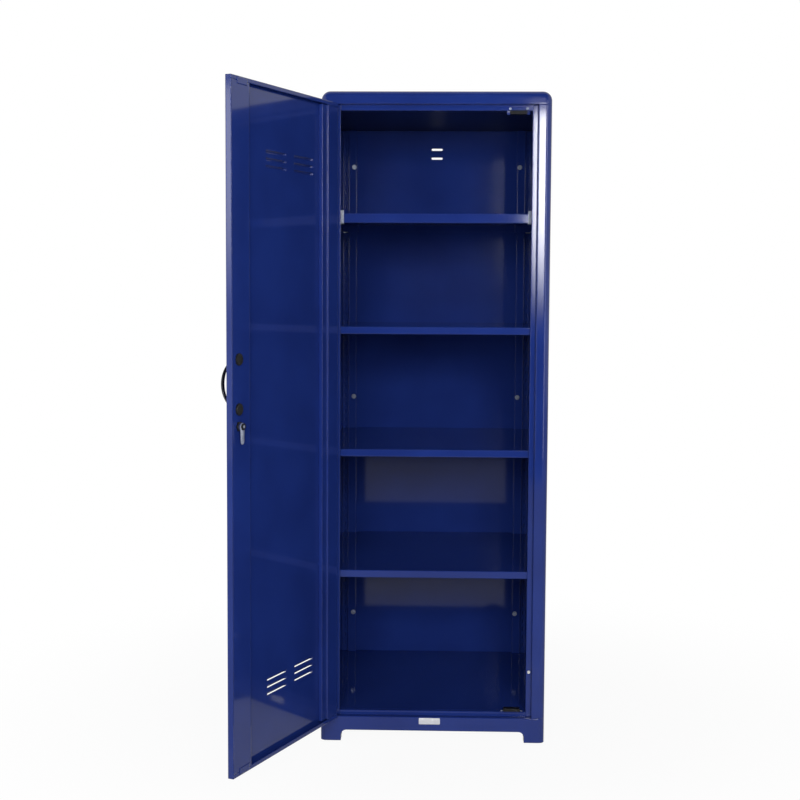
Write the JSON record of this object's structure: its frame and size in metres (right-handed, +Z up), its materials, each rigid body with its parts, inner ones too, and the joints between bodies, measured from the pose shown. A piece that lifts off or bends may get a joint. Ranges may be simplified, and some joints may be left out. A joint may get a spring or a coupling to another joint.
{
  "type": "locker cabinet",
  "caption": "Tall steel locker cabinet with a hinged louvred door, cam lock, bow handle, hat shelf and adjustable shelves on perforated uprights.",
  "frame": {"origin": "on the floor under the middle of the cabinet body's footprint", "axes": "+Z up, -Y towards the front of the cabinet, +X to the right seen from the front"},
  "size_m": [0.8255, 1.2239, 1.8],
  "materials": {
    "blue_enamel": "glossy deep blue powder coat",
    "zinc_steel": "bright zinc plated",
    "chrome_plate": "polished",
    "black_plastic": "satin moulded",
    "white_rubber": "matt white",
    "label_aluminium": "satin, bare"
  },
  "bodies": {
    "cabinet": {"head_rail": "blue_enamel", "base_rail": "blue_enamel", "hinge_stile": "blue_enamel", "lock_stile": "blue_enamel", "side_left": "blue_enamel", "side_right": "blue_enamel", "top_panel": "blue_enamel", "back_panel": "blue_enamel", "floor_panel": "blue_enamel", "ceiling_panel": "blue_enamel", "rear_rail": "blue_enamel", "foot_plates": "blue_enamel", "glide_front_left": "black_plastic", "glide_front_right": "black_plastic", "glide_rear_left": "black_plastic", "glide_rear_right": "black_plastic", "upright_rear_left": "blue_enamel", "upright_front_left": "blue_enamel", "upright_rear_right": "blue_enamel", "upright_front_right": "blue_enamel", "upright_bolts": "zinc_steel", "lower_shelf": "blue_enamel", "lower_shelf_clips": "zinc_steel", "middle_shelf": "blue_enamel", "middle_shelf_clips": "zinc_steel", "upper_shelf": "blue_enamel", "upper_shelf_clips": "zinc_steel", "hat_shelf": "blue_enamel", "hat_shelf_brackets": "zinc_steel", "catch_top": "black_plastic", "catch_bottom": "black_plastic", "catch_screws": "zinc_steel", "label_plate": "label_aluminium", "stile_bumper": "white_rubber", "hinge_top_body_leaf": "blue_enamel", "hinge_top_pin": "zinc_steel", "hinge_middle_body_leaf": "blue_enamel", "hinge_middle_pin": "zinc_steel", "hinge_bottom_body_leaf": "blue_enamel", "hinge_bottom_pin": "zinc_steel", "hinge_body_screws": "zinc_steel"},
    "door": {"door_skin": "blue_enamel", "hinge_channel": "blue_enamel", "lock_channel": "blue_enamel", "bow_handle": "chrome_plate", "handle_caps": "black_plastic", "lock_barrel": "chrome_plate", "lock_nut": "black_plastic", "strike_plates": "blue_enamel", "hinge_door_screws": "zinc_steel", "hinge_top_door_leaf": "blue_enamel", "hinge_middle_door_leaf": "blue_enamel", "hinge_bottom_door_leaf": "blue_enamel"},
    "lock": {"lock_plug": "chrome_plate", "lock_cam": "zinc_steel", "cam_screw": "black_plastic"}
  },
  "joints": [
    {"name": "door_hinge", "type": "hinge", "parent": "cabinet", "child": "door", "pos_m": [-0.281, -0.355, 0.919], "axis": [0, 0, 1], "range_deg": [-67, 113]},
    {"name": "lock_turn", "type": "hinge", "parent": "door", "child": "lock", "pos_m": [-0.48574, -0.83735, 0.933], "axis": [-0.9205, 0.3907, 0], "range_deg": [0, 90]}
  ]
}
